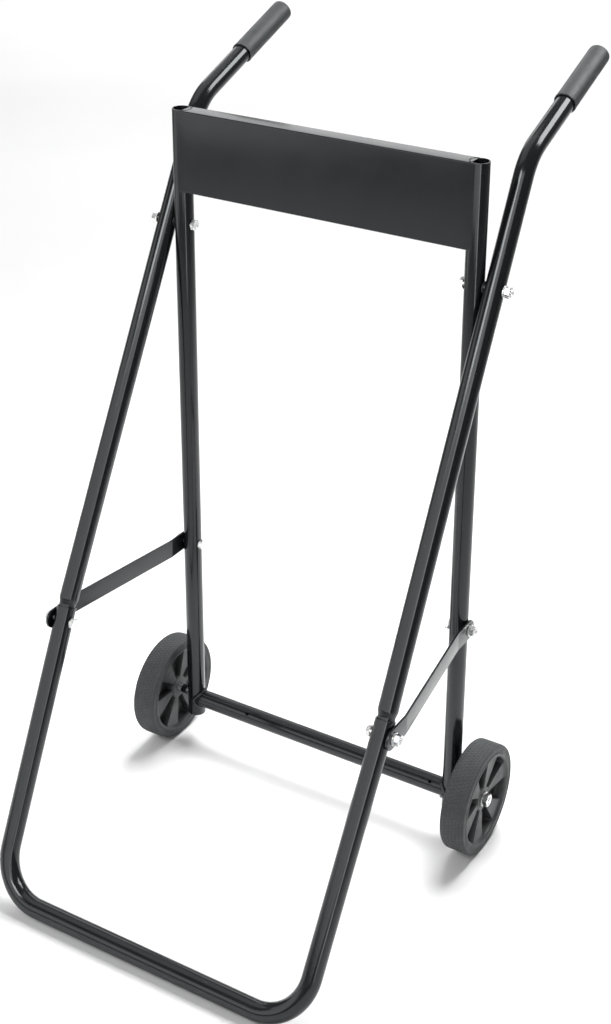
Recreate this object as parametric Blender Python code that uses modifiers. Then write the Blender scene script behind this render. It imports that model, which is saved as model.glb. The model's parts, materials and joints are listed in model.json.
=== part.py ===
"""Outboard motor carrying stand: bolted tube frame with a mounting board, a U-shaped foot and two wheels.

World axes: +X to the side, -Y to the front (foot), +Y to the back (grips), +Z up. Metres.
The origin is on the floor, in the middle of the overall width and depth.
"""

import math

import bmesh
import bpy
from mathutils import Vector

NAME = "outboard_motor_stand"
GAP = 0.0003

# Tube stock
TUBE_R = 0.0125
TUBE_WALL = 0.0015
TUBE_BEVEL_RESOLUTION = 6
TUBE_SIDES = 16
BEND_STEPS = 6

# Rear frame: two vertical uprights, the mounting board and the lower crossbar
REAR_Y = 0.0726
UPRIGHT_X = 0.209
UPRIGHT_TOP = 0.951
UPRIGHT_BOTTOM = 0.041
BOARD_HEIGHT = 0.107
BOARD_WALL = 0.002
BOARD_END_MARGIN = 0.004
CROSSBAR_Z = 0.067
VENT_R = 0.0022
VENT_DEPTH = 0.006
VENT_ANGLE = math.radians(40.0)
VENT_X = {"left": -0.115, "right": 0.181}
VENT_SIDES = 10

# Front frame: U-foot below, handle tubes plugged into its two ends
HANDLE_X = 0.2356
FOOT_X = 0.2236
FOOT_Y = REAR_Y - 0.4164
FOOT_BEND_R = 0.063
PIVOT_Z = 0.798
JOINT_S = 0.372
BEND_S = 1.0523
HANDLE_BEND_R = 0.070
GRIP_ANGLE = math.radians(68.0)
HANDLE_END = 0.189
PLUG_R = 0.0107
PLUG_LENGTH = 0.042
NECK_STRAIGHT = 0.003
NECK_TAPER = 0.009

# Grips
GRIP_R = 0.0147
GRIP_LENGTH = 0.110
GRIP_CAP = 0.004
GRIP_ROUND = 0.0025
GRIP_LIP = 0.0006
GRIP_STEPS = 20

# Braces: flat bar, level, joggled from the handle tube in to the upright
BRACE_Z = 0.325
BRACE_WIDTH = 0.026
BRACE_THICK = 0.003
BRACE_REAR_BEND = 0.0315
BRACE_FRONT_BEND = 0.0315
BRACE_REAR_OVERHANG = 0.013
BRACE_FRONT_OVERHANG = 0.0155
BRACE_CORNER = 0.0125
BRACE_CORNER_STEPS = 5
BRACE_LEG_GAP = 0.0009

# M8 fasteners
BOLT_R = 0.004
BOLT_HOLE_R = 0.0044
HEX_FLATS = 0.013
HEAD_THICK = 0.0053
NUT_THICK = 0.0068
WASHER_R = 0.008
WASHER_THICK = 0.0016
SPACER_R = 0.0075
BOLT_TIP = 0.0025
BOLT_SIDES = 12

# Wheels and axles
WHEEL_R = 0.075
WHEEL_WIDTH = 0.035
WHEEL_X = 0.248
AXLE_Y = REAR_Y - 0.004
AXLE_R = 0.005
AXLE_HOLE_R = 0.0054
AXLE_HEX_FLATS = 0.016
AXLE_NUT_THICK = 0.0065
AXLE_WASHER_R = 0.010
AXLE_SPACER_R = 0.0062
AXLE_TIP = 0.001
AXLE_SIDES = 24
RUNNING_CLEARANCE = 0.00006
BUSH_R = 0.0075
TYRE_INNER_R = 0.0635
TYRE_SHOULDER = 0.004
RIM_OPENING_R = 0.060
RIM_LIP = 0.002
RIM_DRAFT = 0.001
HUB_R = 0.0155
HUB_RECESS = 0.0065
WEB_THICK = 0.005
SPOKE_COUNT = 6
SPOKE_RECESS = 0.006
SPOKE_HUB_WIDTH = 0.006
SPOKE_RIM_WIDTH = 0.031
SPOKE_REACH = 0.0605
SPOKE_START = {"left": math.radians(-6.0), "right": math.radians(-12.0)}
ROUND_STEPS = 40

SIDES = (("left", -1), ("right", 1))
LEG_DIRECTION = Vector((0.0, REAR_Y - FOOT_Y, PIVOT_Z - TUBE_R)).normalized()
FOOT_MID = Vector((0.0, FOOT_Y, TUBE_R))
SIDE_AXIS = Vector((1.0, 0.0, 0.0))


def clear_scene():
    for obj in list(bpy.data.objects):
        bpy.data.objects.remove(obj, do_unlink=True)


def make_collection(name):
    collection = bpy.data.collections.new(name)
    bpy.context.scene.collection.children.link(collection)
    return collection


def make_material(name, colour, roughness, metallic):
    material = bpy.data.materials.new(name)
    material.use_nodes = True
    shader = material.node_tree.nodes["Principled BSDF"]
    shader.inputs["Base Color"].default_value = (*colour, 1.0)
    shader.inputs["Roughness"].default_value = roughness
    shader.inputs["Metallic"].default_value = metallic
    return material


def place(name, mesh, collection, location=(0.0, 0.0, 0.0), direction=None):
    """Puts a mesh in the scene. With a direction, the mesh's own Z axis points along it."""
    obj = bpy.data.objects.new(name, mesh)
    obj.location = location
    if direction is not None:
        obj.rotation_euler = direction.to_track_quat("Z", "Y").to_euler()
    collection.objects.link(obj)
    return obj


def finish_part(obj, material):
    obj.data.materials.append(material)
    obj.data.shade_smooth()
    obj.data.set_sharp_from_angle(angle=math.radians(35.0))
    return obj


def finish_cutter(obj):
    obj.hide_render = True
    obj.display_type = "WIRE"
    return obj


def boolean(obj, other, operation="DIFFERENCE"):
    modifier = obj.modifiers.new(other.name, "BOOLEAN")
    modifier.operation = operation
    modifier.solver = "EXACT"
    modifier.object = other


def mesh_from(bm, name):
    mesh = bpy.data.meshes.new(name)
    bm.to_mesh(mesh)
    bm.free()
    return mesh


def rod_mesh(name, radius, length, sides):
    bm = bmesh.new()
    bmesh.ops.create_cone(bm, cap_ends=True, segments=sides, radius1=radius, radius2=radius, depth=length)
    return mesh_from(bm, name)


def box_mesh(name, size):
    bm = bmesh.new()
    bmesh.ops.create_cube(bm, size=1.0)
    bmesh.ops.scale(bm, vec=size, verts=bm.verts)
    return mesh_from(bm, name)


def rod_cutter(name, centre, radius, length, direction=SIDE_AXIS, sides=BOLT_SIDES):
    return finish_cutter(place(name, rod_mesh(name, radius, length, sides), cutters, centre, direction))


def mesh_of_curve(name, curve):
    """The welded mesh of a curve, without the curve object that made it."""
    holder = bpy.data.objects.new(name + "_curve", curve)
    bpy.context.scene.collection.objects.link(holder)
    graph = bpy.context.evaluated_depsgraph_get()
    mesh = bpy.data.meshes.new_from_object(holder.evaluated_get(graph))
    bpy.data.objects.remove(holder, do_unlink=True)
    bm = bmesh.new()
    bm.from_mesh(mesh)
    bmesh.ops.remove_doubles(bm, verts=bm.verts, dist=0.000001)
    bmesh.ops.recalc_face_normals(bm, faces=bm.faces)
    bm.to_mesh(mesh)
    bm.free()
    return mesh


def add_tube(name, points, wall, radii=None):
    """An open-ended tube along a centreline. radii gives a share of the full radius at each point."""
    curve = bpy.data.curves.new(name, "CURVE")
    curve.dimensions = "3D"
    curve.bevel_depth = TUBE_R
    curve.bevel_resolution = TUBE_BEVEL_RESOLUTION
    spline = curve.splines.new("POLY")
    spline.points.add(len(points) - 1)
    for index, point in enumerate(points):
        spline.points[index].co = (*point, 1.0)
        spline.points[index].radius = radii[index] if radii else 1.0
    tube = place(name, mesh_of_curve(name, curve), parts)
    shell = tube.modifiers.new("wall", "SOLIDIFY")
    shell.thickness = wall
    shell.offset = -1.0
    return finish_part(tube, black_coat)


def outline_mesh(name, outlines, half_thickness):
    """Flat closed outlines in XY, thickened evenly to both sides."""
    curve = bpy.data.curves.new(name, "CURVE")
    curve.dimensions = "2D"
    curve.fill_mode = "BOTH"
    curve.extrude = half_thickness
    for outline in outlines:
        spline = curve.splines.new("POLY")
        spline.points.add(len(outline) - 1)
        spline.use_cyclic_u = True
        for point, (x, y) in zip(spline.points, outline):
            point.co = (x, y, 0.0, 1.0)
    return mesh_of_curve(name, curve)


def add_turned(name, profile, closed_loop, steps, material, location, direction):
    """Turns (radius, height) points about the piece's own axis, which points along direction."""
    bm = bmesh.new()
    verts = [bm.verts.new((radius, 0.0, height)) for radius, height in profile]
    for first, second in zip(verts, verts[1:]):
        bm.edges.new((first, second))
    if closed_loop:
        bm.edges.new((verts[-1], verts[0]))
    turned = place(name, mesh_from(bm, name), parts, location, direction)
    screw = turned.modifiers.new("turn", "SCREW")
    screw.axis = "Z"
    screw.steps = steps
    screw.render_steps = steps
    screw.use_merge_vertices = True
    screw.merge_threshold = 0.00001
    screw.use_smooth_shade = True
    turned.data.materials.append(material)
    return turned


def arc_points(corner, before, after, radius, steps):
    """Centreline points of a bend of this radius that rounds a corner between two unit directions."""
    turn = before.angle(after)
    inset = radius * math.tan(turn / 2.0)
    normal = (after - before * after.dot(before)).normalized()
    centre = corner - before * inset + normal * radius
    points = []
    for index in range(steps + 1):
        angle = turn * index / steps
        points.append(centre - normal * (radius * math.cos(angle)) + before * (radius * math.sin(angle)))
    return points


def foot_corner(sign):
    return FOOT_MID + SIDE_AXIS * (sign * FOOT_X)


def joint_point(sign):
    """Where a handle tube's shoulder meets the top of the U-foot's leg."""
    return FOOT_MID + LEG_DIRECTION * JOINT_S + SIDE_AXIS * (sign * HANDLE_X)


def leg_point(sign, height):
    """The point of a foot leg's centreline at this height above the floor."""
    corner = foot_corner(sign)
    top = joint_point(sign)
    return corner.lerp(top, (height - corner.z) / (top.z - corner.z))


def upright_cutter(label, side, sign):
    """The space an upright takes, with the gap round it."""
    height = UPRIGHT_TOP + TUBE_R
    centre = (sign * UPRIGHT_X, REAR_Y, height / 2.0)
    up = Vector((0.0, 0.0, 1.0))
    return rod_cutter(f"cut_{label}_upright_{side}", centre, TUBE_R + GAP, height, up, TUBE_SIDES)


def build_upright(side, sign):
    x = sign * UPRIGHT_X
    points = [Vector((x, REAR_Y, UPRIGHT_BOTTOM)), Vector((x, REAR_Y, UPRIGHT_TOP))]
    upright = add_tube("upright_" + side, points, TUBE_WALL)
    for label, height in (("pivot", PIVOT_Z), ("brace", BRACE_Z)):
        centre = (x, REAR_Y, height)
        boolean(upright, rod_cutter(f"cut_{label}_{side}", centre, BOLT_HOLE_R, 4.0 * TUBE_R))
    outer_wall = (x + sign * TUBE_R, AXLE_Y, WHEEL_R)
    boolean(upright, rod_cutter("cut_axle_" + side, outer_wall, AXLE_HOLE_R, 1.4 * TUBE_R))


def build_mounting_board():
    """Open-ended box section between the uprights, with its ends coped round them."""
    length = 2.0 * (UPRIGHT_X - BOARD_END_MARGIN)
    depth = 2.0 * TUBE_R
    centre = (0.0, REAR_Y, UPRIGHT_TOP - BOARD_HEIGHT / 2.0)
    outside = box_mesh("mounting_board", (length, depth, BOARD_HEIGHT))
    board = finish_part(place("mounting_board", outside, parts, centre), satin_coat)
    inside = (2.0 * UPRIGHT_X, depth - 2.0 * BOARD_WALL, BOARD_HEIGHT - 2.0 * BOARD_WALL)
    hollow = place("cut_board_hollow", box_mesh("cut_board_hollow", inside), cutters, centre)
    boolean(board, finish_cutter(hollow))
    for side, sign in SIDES:
        boolean(board, upright_cutter("board", side, sign))


def build_crossbar():
    """Tube between the uprights, coped round both, with one vent hole near each end."""
    half = UPRIGHT_X - BOARD_END_MARGIN
    points = [Vector((-half, REAR_Y, CROSSBAR_Z)), Vector((half, REAR_Y, CROSSBAR_Z))]
    crossbar = add_tube("crossbar", points, TUBE_WALL)
    outward = Vector((0.0, -math.cos(VENT_ANGLE), math.sin(VENT_ANGLE)))
    for side, sign in SIDES:
        boolean(crossbar, upright_cutter("crossbar", side, sign))
        skin = Vector((VENT_X[side], REAR_Y, CROSSBAR_Z)) + outward * TUBE_R
        boolean(crossbar, rod_cutter("cut_vent_" + side, skin, VENT_R, VENT_DEPTH, outward, VENT_SIDES))


def build_u_foot():
    """One bent tube: two leaning legs that close in a little downwards, and the bar on the floor."""
    halves = []
    for sign in (-1, 1):
        top = joint_point(sign)
        corner = foot_corner(sign)
        down = (corner - top).normalized()
        halves.append([top] + arc_points(corner, down, SIDE_AXIS * -sign, FOOT_BEND_R, BEND_STEPS))
    left, right = halves
    foot = add_tube("u_foot", left + right[::-1], TUBE_WALL)
    for side, sign in SIDES:
        boolean(foot, rod_cutter("cut_foot_" + side, leg_point(sign, BRACE_Z), BOLT_HOLE_R, 4.0 * TUBE_R))


def handle_bend(sign):
    """Centreline points of a handle tube's bend, and the direction of its grip end."""
    corner = FOOT_MID + LEG_DIRECTION * BEND_S + SIDE_AXIS * (sign * HANDLE_X)
    back = Vector((0.0, math.sin(GRIP_ANGLE), math.cos(GRIP_ANGLE)))
    return arc_points(corner, LEG_DIRECTION, back, HANDLE_BEND_R, BEND_STEPS), back


def build_handle(side, sign):
    """Tube whose lower end is drawn down to a plug that sits in the foot's leg."""
    joint = joint_point(sign)
    down = (foot_corner(sign) - joint).normalized()
    bend, back = handle_bend(sign)
    drawn = PLUG_R / TUBE_R
    stations = [
        (joint + down * PLUG_LENGTH, drawn),
        (joint, drawn),
        (joint + LEG_DIRECTION * NECK_STRAIGHT, drawn),
        (joint + LEG_DIRECTION * (NECK_STRAIGHT + NECK_TAPER), 1.0),
    ]
    stations += [(point, 1.0) for point in bend + [bend[-1] + back * HANDLE_END]]
    points, radii = zip(*stations)
    handle = add_tube("handle_" + side, points, TUBE_WALL, radii)
    pivot = (sign * HANDLE_X, REAR_Y, PIVOT_Z)
    for label, centre in (("plug", leg_point(sign, BRACE_Z)), ("handle", pivot)):
        boolean(handle, rod_cutter(f"cut_{label}_{side}", centre, BOLT_HOLE_R, 4.0 * TUBE_R))


def build_grip(side, sign):
    """Sleeve over the end of a handle tube, open at its lower end and capped at the other."""
    bend, back = handle_bend(sign)
    mouth = bend[-1] + back * (HANDLE_END - GRIP_LENGTH + GRIP_CAP)
    bore = TUBE_R + GAP
    profile = [
        (0.0, GRIP_LENGTH),
        (GRIP_R - 1.2 * GRIP_ROUND, GRIP_LENGTH),
        (GRIP_R - 0.35 * GRIP_ROUND, GRIP_LENGTH - 0.4 * GRIP_ROUND),
        (GRIP_R, GRIP_LENGTH - GRIP_ROUND),
        (GRIP_R, GRIP_LIP),
        (GRIP_R - GRIP_LIP, 0.0),
        (bore, 0.0),
        (bore, GRIP_LENGTH - GRIP_CAP + GAP),
        (0.0, GRIP_LENGTH - GRIP_CAP + GAP),
    ]
    add_turned("grip_" + side, profile, False, GRIP_STEPS, grip_rubber, mouth, back)


def brace_line(sign):
    """(x, y) of the brace's middle layer: rear end, two bends, front end."""
    front = leg_point(sign, BRACE_Z)
    outward = sign * (TUBE_R + BRACE_THICK / 2.0)
    rear_x = sign * (UPRIGHT_X + GAP) + outward
    front_x = front.x + sign * BRACE_LEG_GAP + outward
    return (
        Vector((rear_x, REAR_Y + BRACE_REAR_OVERHANG)),
        Vector((rear_x, REAR_Y - BRACE_REAR_BEND)),
        Vector((front_x, front.y + BRACE_FRONT_BEND)),
        Vector((front_x, front.y - BRACE_FRONT_OVERHANG)),
    )


def build_brace(side, sign):
    """Flat bar bent twice, so that each end lies flat against its tube, with both ends rounded."""
    name = "brace_" + side
    line = brace_line(sign)
    edges = ([], [])
    for index, point in enumerate(line):
        legs = [line[i + 1] - line[i] for i in (index - 1, index) if 0 <= i < len(line) - 1]
        units = [Vector((-leg.y, leg.x)).normalized() for leg in legs]
        mitre = sum(units, Vector((0.0, 0.0))).normalized()
        offset = mitre * (BRACE_THICK / 2.0 / mitre.dot(units[0]))
        edges[0].append(point + offset)
        edges[1].append(point - offset)
    plan = [tuple(point) for point in edges[0] + edges[1][::-1]]
    brace = place(name, outline_mesh(name, [plan], BRACE_WIDTH / 2.0), parts, (0.0, 0.0, BRACE_Z))
    finish_part(brace, black_coat)
    blank = place("trim_" + name, outline_mesh("trim_" + name, [brace_blank(line)], 2.0 * TUBE_R), cutters)
    blank.location = ((line[0].x + line[-1].x) / 2.0, 0.0, BRACE_Z)
    blank.rotation_euler = (0.0, math.radians(90.0), 0.0)
    boolean(brace, finish_cutter(blank), "INTERSECT")
    rear = (sign * UPRIGHT_X, REAR_Y, BRACE_Z)
    for label, centre in (("rear", rear), ("front", leg_point(sign, BRACE_Z))):
        boolean(brace, rod_cutter(f"cut_{name}_{label}", centre, BOLT_HOLE_R, 5.0 * TUBE_R))


def brace_blank(line):
    """Side outline of the bar, (height, y), with both ends rounded to nearly half its width."""
    outline = []
    flat = BRACE_WIDTH / 2.0 - BRACE_CORNER
    for end_y, sense in ((line[0].y, 1.0), (line[-1].y, -1.0)):
        for index in range(-BRACE_CORNER_STEPS, BRACE_CORNER_STEPS + 1):
            angle = math.radians(90.0) * index / BRACE_CORNER_STEPS
            lift = math.copysign(flat, index) if index else 0.0
            reach = BRACE_CORNER * (1.0 - math.cos(angle))
            outline.append((-sense * (lift + BRACE_CORNER * math.sin(angle)), end_y - sense * reach))
    return outline


def add_bolt(name, head_face, direction, length):
    """Hex bolt whose head sits just behind head_face and whose shank runs along direction."""
    shank = place(name, rod_mesh(name, BOLT_R, length, BOLT_SIDES), parts, direction=direction)
    shank.location = Vector(head_face) + direction * (length / 2.0 - HEAD_THICK / 2.0)
    finish_part(shank, zinc)
    head_name = "head_" + name
    head_mesh = rod_mesh(head_name, HEX_FLATS / math.sqrt(3.0), HEAD_THICK, 6)
    head_centre = Vector(head_face) - direction * (HEAD_THICK / 2.0)
    head = place(head_name, head_mesh, cutters, head_centre, direction)
    boolean(shank, finish_cutter(head), "UNION")


def add_nut(name, low_face, direction, thick, flats, hole_r):
    centre = Vector(low_face) + direction * (thick / 2.0)
    nut = place(name, rod_mesh(name, flats / math.sqrt(3.0), thick, 6), parts, centre, direction)
    finish_part(nut, zinc)
    boolean(nut, rod_cutter("cut_" + name, centre, hole_r, 2.0 * thick))


def add_washer(name, low_face, direction, thick, outer_r, hole_r, material, steps=BOLT_SIDES):
    profile = [(outer_r, thick), (outer_r, 0.0), (hole_r, 0.0), (hole_r, thick)]
    add_turned(name, profile, True, steps, material, low_face, direction)


def add_fastener_set(label, side, sign, centre, inner, outer):
    """Bolt from the inside out, with washer and nut outside. inner and outer are distances from centre."""
    out = SIDE_AXIS * sign
    washer = outer + GAP
    nut = washer + WASHER_THICK + GAP
    tip = nut + NUT_THICK + BOLT_TIP
    head_face = centre + out * (inner - GAP)
    add_bolt(f"{label}_bolt_{side}", head_face, out, tip - inner + GAP + HEAD_THICK / 2.0)
    hole = BOLT_R + GAP
    add_washer(f"{label}_washer_{side}", centre + out * washer, out, WASHER_THICK, WASHER_R, hole, zinc)
    add_nut(f"{label}_nut_{side}", centre + out * nut, out, NUT_THICK, HEX_FLATS, hole)


def build_fasteners(side, sign):
    out = SIDE_AXIS * sign
    pivot = Vector((sign * UPRIGHT_X, REAR_Y, PIVOT_Z))
    reach = HANDLE_X - UPRIGHT_X
    add_fastener_set("pivot", side, sign, pivot, -TUBE_R, reach + TUBE_R)
    thick = reach - 2.0 * TUBE_R - 2.0 * GAP
    start = pivot + out * (TUBE_R + GAP)
    add_washer("pivot_spacer_" + side, start, out, thick, SPACER_R, BOLT_R + GAP, nylon)
    rear = Vector((sign * UPRIGHT_X, REAR_Y, BRACE_Z))
    add_fastener_set("rear_brace", side, sign, rear, -TUBE_R, TUBE_R + GAP + BRACE_THICK)
    front_face = TUBE_R + BRACE_LEG_GAP + BRACE_THICK
    add_fastener_set("front_brace", side, sign, leg_point(sign, BRACE_Z), -TUBE_R - GAP, front_face)


def build_axle(side, sign):
    """Stub axle from inside the upright, with a painted spacer sleeve, the wheel's washer and its nut."""
    out = SIDE_AXIS * sign
    start = Vector((sign * UPRIGHT_X, AXLE_Y, WHEEL_R))
    hub_in = WHEEL_X - WHEEL_WIDTH / 2.0 - UPRIGHT_X
    washer = WHEEL_X + WHEEL_WIDTH / 2.0 - HUB_RECESS - UPRIGHT_X + GAP
    nut = washer + WASHER_THICK + GAP
    length = nut + AXLE_NUT_THICK + AXLE_TIP
    centre = start + out * (length / 2.0)
    name = "axle_" + side
    finish_part(place(name, rod_mesh(name, AXLE_R, length, AXLE_SIDES), parts, centre, out), zinc)
    spacer = TUBE_R + GAP
    bore = AXLE_R + GAP
    sleeve = hub_in - GAP - spacer
    add_washer("axle_spacer_" + side, start + out * spacer, out, sleeve, AXLE_SPACER_R, bore, black_coat)
    add_washer("axle_washer_" + side, start + out * washer, out, WASHER_THICK, AXLE_WASHER_R, bore, zinc)
    add_nut("axle_nut_" + side, start + out * nut, out, AXLE_NUT_THICK, AXLE_HEX_FLATS, bore)


def wheel_centre(sign):
    return Vector((sign * WHEEL_X, AXLE_Y, WHEEL_R))


def build_tyre(side, sign):
    half = WHEEL_WIDTH / 2.0
    eased = 0.3 * TYRE_SHOULDER
    outer_half = [
        (WHEEL_R, half - TYRE_SHOULDER),
        (WHEEL_R - eased, half - eased),
        (WHEEL_R - TYRE_SHOULDER, half),
        (TYRE_INNER_R, half),
    ]
    profile = outer_half[::-1] + [(radius, -height) for radius, height in outer_half]
    add_turned("tyre_" + side, profile, True, ROUND_STEPS, tyre_rubber, wheel_centre(sign), SIDE_AXIS)


def spoke_outline(angle):
    inner = (HUB_R + BUSH_R) / 2.0
    out = Vector((math.cos(angle), math.sin(angle)))
    across = Vector((-out.y, out.x))
    narrow, wide = SPOKE_HUB_WIDTH / 2.0, SPOKE_RIM_WIDTH / 2.0
    stations = ((inner, -narrow), (SPOKE_REACH, -wide), (SPOKE_REACH, wide), (inner, narrow))
    return [tuple(out * along + across * side) for along, side in stations]


def build_rim(side, sign):
    """Moulded wheel centre: outer ring, closed middle web, hub, and wedge spokes on both sides of the web."""
    half = WHEEL_WIDTH / 2.0
    bore = BUSH_R + GAP
    outside = [
        (bore, half - HUB_RECESS),
        (HUB_R, half - HUB_RECESS),
        (HUB_R, WEB_THICK / 2.0),
        (RIM_OPENING_R - RIM_DRAFT, WEB_THICK / 2.0),
        (RIM_OPENING_R, half - RIM_DRAFT),
        (RIM_OPENING_R + RIM_LIP, half),
        (TYRE_INNER_R - GAP, half),
    ]
    profile = outside + [(radius, -height) for radius, height in outside[::-1]]
    rim = add_turned("rim_" + side, profile, True, ROUND_STEPS, rim_plastic, wheel_centre(sign), SIDE_AXIS)
    outlines = []
    for index in range(SPOKE_COUNT):
        turn = SPOKE_START[side] + math.radians(360.0) * index / SPOKE_COUNT
        outlines.append(spoke_outline(turn))
    mesh = outline_mesh("spokes_" + side, outlines, half - SPOKE_RECESS)
    spokes = place("spokes_" + side, mesh, cutters, wheel_centre(sign))
    spokes.rotation_euler = (0.0, math.radians(-90.0), math.radians(180.0))
    boolean(rim, finish_cutter(spokes), "UNION")


def build_bush(side, sign):
    low = wheel_centre(sign) - SIDE_AXIS * (WHEEL_WIDTH / 2.0 - HUB_RECESS)
    length = WHEEL_WIDTH - 2.0 * HUB_RECESS
    bore = AXLE_R + RUNNING_CLEARANCE
    add_washer("bush_" + side, low, SIDE_AXIS, length, BUSH_R, bore, nylon, AXLE_SIDES)


clear_scene()
parts = make_collection(NAME)
cutters = make_collection("cutters")
black_coat = make_material("black_coat", (0.018, 0.019, 0.020), 0.32, 0.0)
satin_coat = make_material("satin_coat", (0.034, 0.036, 0.038), 0.5, 0.0)
grip_rubber = make_material("grip_rubber", (0.075, 0.078, 0.08), 0.75, 0.0)
zinc = make_material("zinc", (0.82, 0.83, 0.84), 0.3, 1.0)
nylon = make_material("nylon", (0.022, 0.023, 0.024), 0.55, 0.0)
tyre_rubber = make_material("tyre_rubber", (0.06, 0.062, 0.063), 0.7, 0.0)
rim_plastic = make_material("rim_plastic", (0.05, 0.052, 0.053), 0.6, 0.0)

build_mounting_board()
build_crossbar()
build_u_foot()
for part_side, part_sign in SIDES:
    build_upright(part_side, part_sign)
    build_handle(part_side, part_sign)
    build_grip(part_side, part_sign)
    build_brace(part_side, part_sign)
    build_fasteners(part_side, part_sign)
    build_axle(part_side, part_sign)
    build_tyre(part_side, part_sign)
    build_rim(part_side, part_sign)
    build_bush(part_side, part_sign)
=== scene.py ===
"""The look of the outboard motor stand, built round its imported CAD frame.

Every CAD node is stood in for by a finer piece in the same place: smooth tubes with rounded rims, weld beads,
chamfered and threaded fasteners, moulded grips, block-tread tyres and moulded wheel centres.
Metres, +Z up, -Y towards the foot.
"""

import json
import math

import bmesh
import bpy
from mathutils import Matrix, Vector

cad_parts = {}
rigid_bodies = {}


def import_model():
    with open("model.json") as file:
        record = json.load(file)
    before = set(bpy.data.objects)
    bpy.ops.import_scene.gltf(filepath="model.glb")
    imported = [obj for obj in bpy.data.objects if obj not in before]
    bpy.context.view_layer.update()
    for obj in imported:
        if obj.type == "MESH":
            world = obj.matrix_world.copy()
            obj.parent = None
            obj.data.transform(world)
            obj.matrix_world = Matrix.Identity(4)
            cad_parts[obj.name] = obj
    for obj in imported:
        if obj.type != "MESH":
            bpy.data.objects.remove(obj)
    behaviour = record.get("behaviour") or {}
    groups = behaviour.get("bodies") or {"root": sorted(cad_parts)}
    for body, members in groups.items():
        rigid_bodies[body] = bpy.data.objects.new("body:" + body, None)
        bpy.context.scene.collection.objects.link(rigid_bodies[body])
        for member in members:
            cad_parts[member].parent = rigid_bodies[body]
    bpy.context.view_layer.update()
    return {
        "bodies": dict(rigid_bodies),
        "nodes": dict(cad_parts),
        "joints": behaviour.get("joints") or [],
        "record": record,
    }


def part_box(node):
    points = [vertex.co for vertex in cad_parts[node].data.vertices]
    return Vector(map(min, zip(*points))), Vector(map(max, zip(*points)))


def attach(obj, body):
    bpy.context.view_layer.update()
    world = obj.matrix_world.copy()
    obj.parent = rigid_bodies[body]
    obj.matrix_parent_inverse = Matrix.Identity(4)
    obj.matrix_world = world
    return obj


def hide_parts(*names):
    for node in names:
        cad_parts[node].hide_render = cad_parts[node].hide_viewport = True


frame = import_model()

X_AXIS = Vector((1.0, 0.0, 0.0))
Z_AXIS = Vector((0.0, 0.0, 1.0))
SIDES = (("left", -1), ("right", 1))
GAP = 0.0003


def node_centre(name):
    low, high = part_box(name)
    return (low + high) / 2.0


def node_size(name):
    low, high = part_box(name)
    return high - low


# ---------------------------------------------------------------- dimensions

# Uprights, board and crossbar. A node's box gives a size where it can.
UPRIGHT_LOW, UPRIGHT_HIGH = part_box("upright_right")
TUBE_R = (UPRIGHT_HIGH.y - UPRIGHT_LOW.y) / 2.0
TUBE_WALL = 0.0015
TUBE_LIP = 0.00035
ROUND = 72
RING_SEGMENTS = 64
REAR_Y = node_centre("upright_right").y
UPRIGHT_X = node_centre("upright_right").x
UPRIGHT_TOP = UPRIGHT_HIGH.z
UPRIGHT_BOTTOM = UPRIGHT_LOW.z
BOARD_LOW, BOARD_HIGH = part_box("mounting_board")
BOARD_WALL = 0.002
BOARD_EDGE_R = 0.0016
BOARD_INNER_EDGE_R = 0.0006
BOARD_STATIONS = 25
CROSSBAR_Z = node_centre("crossbar").z
HANDLE_X = node_centre("grip_right").x

# Foot, legs and grips. JOINT_S and BEND_S count along the leg's line from the middle of the foot.
FOOT_X = 0.2236
FOOT_Y = REAR_Y - 0.4164
FOOT_BEND_R = 0.063
PIVOT_Z = node_centre("pivot_bolt_right").z
JOINT_S = 0.372
BEND_S = 1.0523
HANDLE_BEND_R = 0.070
GRIP_ANGLE = math.radians(68.0)
HANDLE_END = 0.189
PLUG_R = 0.0107
PLUG_LENGTH = 0.042
PLUG_NECK = 0.002
SWELL_START = 0.0022
SWELL_LENGTH = 0.0095
SWELL_STEPS = 12
GRIP_R = 0.0147
GRIP_LENGTH = 0.110
GRIP_PAST_TUBE = 0.004
GRIP_CAP = 0.0035

# Braces, vent holes and welds
BRACE_Z = node_centre("brace_right").z
BRACE_THICK = 0.003
BRACE_WIDTH = 0.026
BRACE_LEG_GAP = 0.0009
BRACE_REAR_OVERHANG = 0.013
BRACE_FRONT_OVERHANG = 0.0155
BRACE_BEND = 0.0315
BRACE_BEND_R = 0.010
BRACE_CORNER = 0.0125
BRACE_CORNER_STEPS = 12
BRACE_EDGE_R = 0.0005
VENT_ANGLE = math.radians(40.0)
VENT_X = (-0.115, 0.181)
VENT_R = 0.0022
VENT_FLARE = 0.0012
VENT_DEPTH = 0.004
VENT_EDGE = 0.0002
VENT_PROUD = 0.001
VENT_SEGMENTS = 32
BEAD_SEGMENTS = 14
BEAD_UNEVEN = 0.09
BEAD_WAVE = 611.0
WELD_HALF_ARC = 64.0
WELD_SADDLE_R = 0.0020
WELD_SADDLE_STEPS = 168
WELD_RIM_R = 0.0007
WELD_RIM_LINE = TUBE_R + 0.0004
WELD_RIM_INSET = 0.0003
WELD_RIM_STEPS = 48
WELD_REAR_R = 0.0012
WELD_REAR_INSET = 0.006
WELD_REAR_STEPS = 90

# Fasteners
BOLT_R = 0.004
BOLT_PITCH = 0.00125
BOLT_HEAD_THICK = 0.0053
BOLT_THREAD_START = 0.004
HEX_FLATS = 0.013
THREAD_SEGMENTS = 48
THREAD_STEPS_PER_TURN = 10.0
WASHER_R = 0.008
WASHER_EDGE_R = 0.0003
PIVOT_SPACER_R = 0.0075
SLIP = 0.0001
SMALL_PART_ANGLE = 30.0
MOULDED_ANGLE = 50.0

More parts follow.
